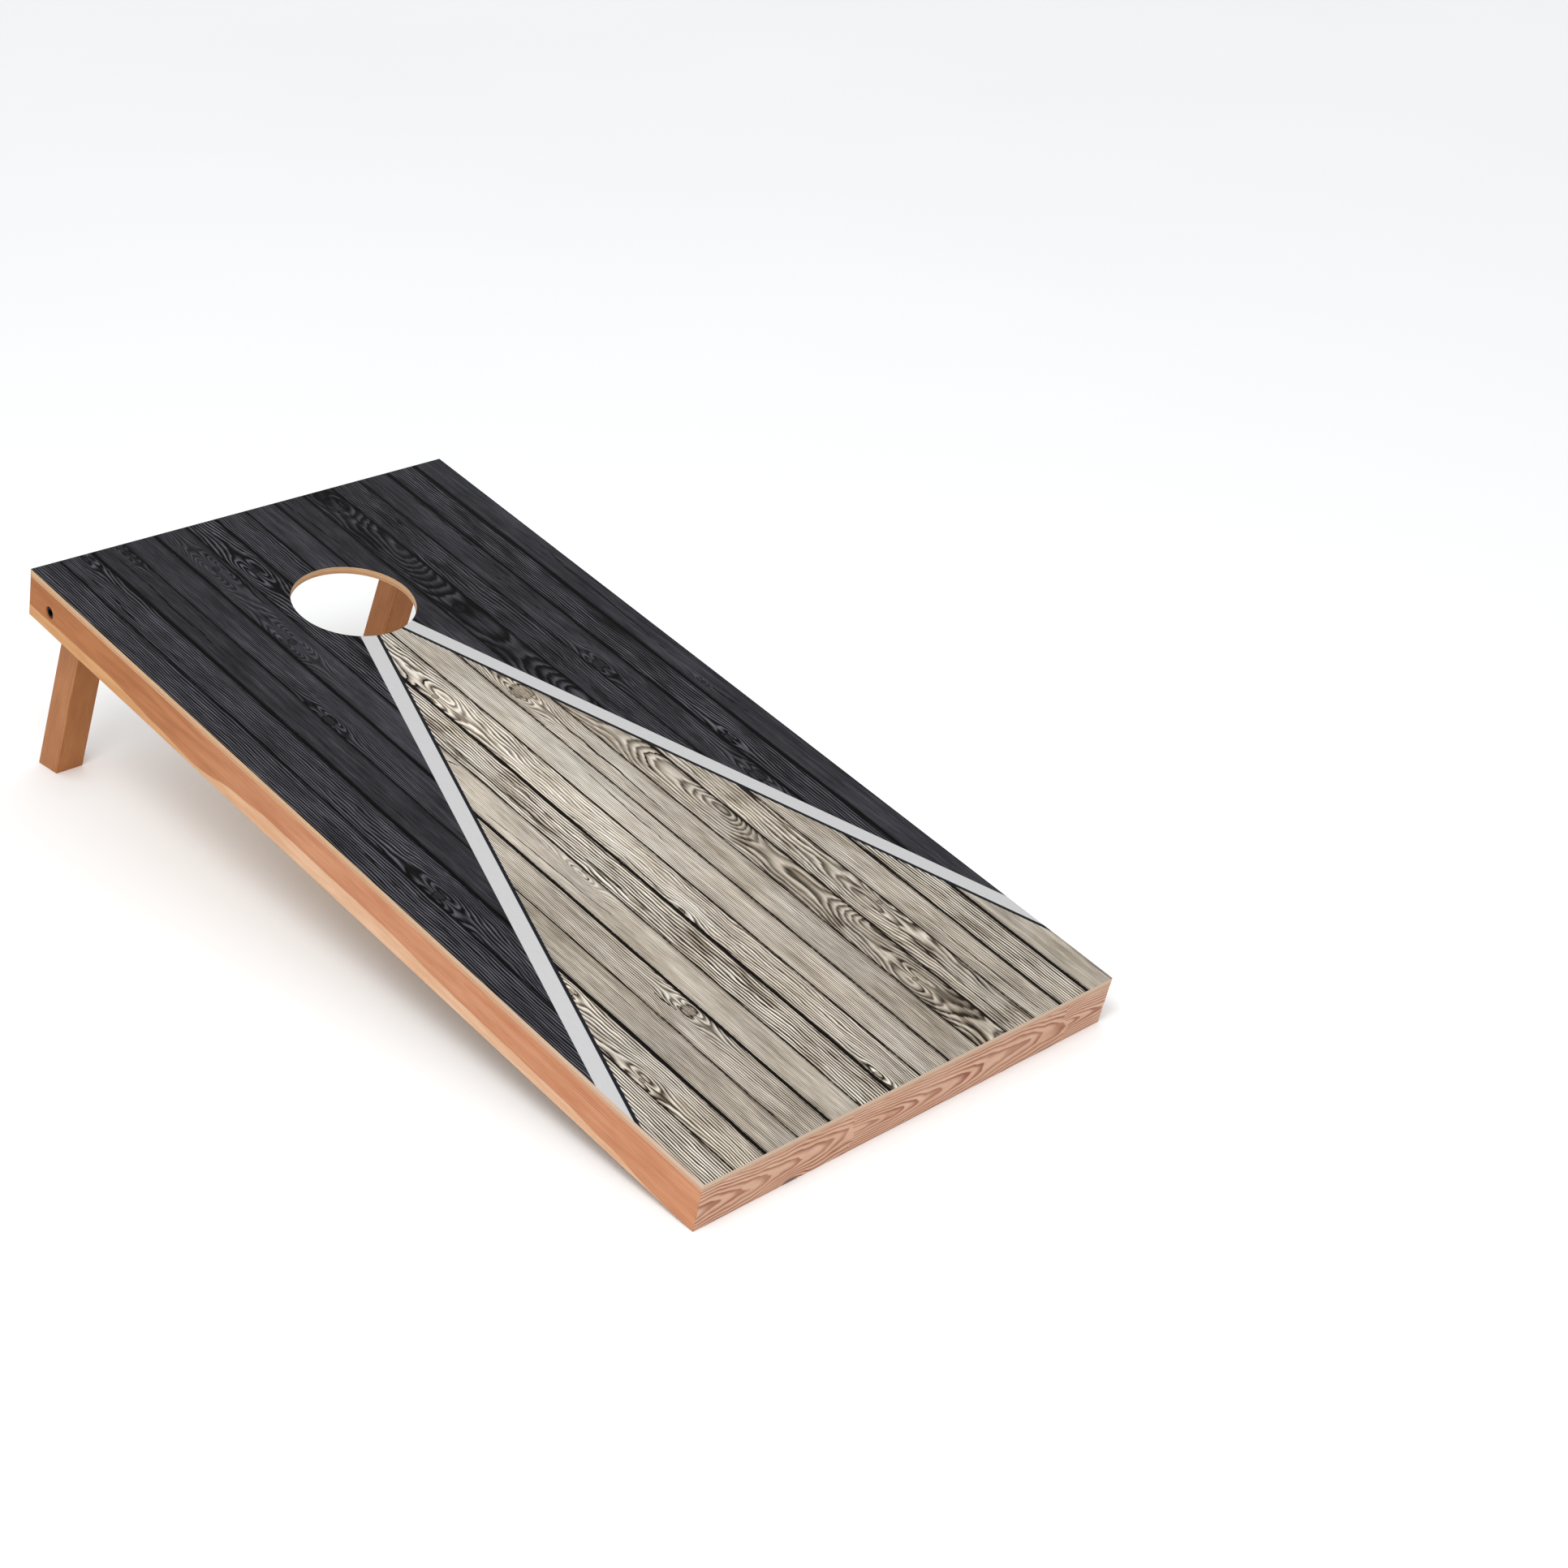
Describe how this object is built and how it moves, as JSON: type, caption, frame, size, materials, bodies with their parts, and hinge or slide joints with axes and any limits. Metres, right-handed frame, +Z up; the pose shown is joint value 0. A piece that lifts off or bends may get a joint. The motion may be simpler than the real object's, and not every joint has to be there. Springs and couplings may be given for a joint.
{
  "type": "cornhole board",
  "caption": "Sloping plank-print plywood game board with a round target hole, on a mitred wooden frame, with folding back legs.",
  "frame": {"origin": "on the ground, below the middle of the part's own box, with the legs set up", "axes": "+Z up; +Y along the ground from the low front edge to the raised back edge; +X to the right of a player who faces the board"},
  "size_m": [0.6096, 1.2836, 0.3048],
  "materials": {
    "plywood": "sanded birch plywood, clear sealed edge",
    "print": "satin laminated print of weathered planks",
    "side_timber": "planed, clear satin sealer",
    "front_timber": "planed, clear satin sealer",
    "inner_timber": "planed, unfinished",
    "leg_timber": "planed, clear satin sealer",
    "beech": "pressed",
    "black_steel": "black oxide",
    "zinc_steel": "bright zinc plate",
    "screw_steel": "yellow zinc plate",
    "nylon": "moulded nylon"
  },
  "bodies": {
    "board": {"deck_panel": "plywood", "deck_graphic": "print", "front_rail": "front_timber", "back_rail": "side_timber", "left_rail": "side_timber", "right_rail": "side_timber", "centre_brace": "inner_timber", "left_leg_block": "inner_timber", "right_leg_block": "inner_timber", "left_corner_block": "inner_timber", "right_corner_block": "inner_timber", "left_leg_bolt": "black_steel", "right_leg_bolt": "black_steel", "left_spacer_washer": "zinc_steel", "right_spacer_washer": "zinc_steel", "left_nut_washer": "zinc_steel", "right_nut_washer": "zinc_steel", "left_lock_nut": "zinc_steel", "right_lock_nut": "zinc_steel", "left_nut_ring": "nylon", "right_nut_ring": "nylon", "deck_screws": "screw_steel", "brace_screws": "screw_steel", "leg_block_screws": "screw_steel", "mitre_biscuits": "beech"},
    "left_leg": {"left_leg": "leg_timber"},
    "right_leg": {"right_leg": "leg_timber"}
  },
  "joints": [
    {"name": "left_leg_fold", "type": "hinge", "parent": "board", "child": "left_leg", "pos_m": [-0.2459, 0.51772, 0.26009], "axis": [-1, 0, 0], "range_deg": [0, 100.2]},
    {"name": "right_leg_fold", "type": "hinge", "parent": "board", "child": "right_leg", "pos_m": [0.2459, 0.51772, 0.26009], "axis": [-1, 0, 0], "range_deg": [0, 100.2]}
  ]
}
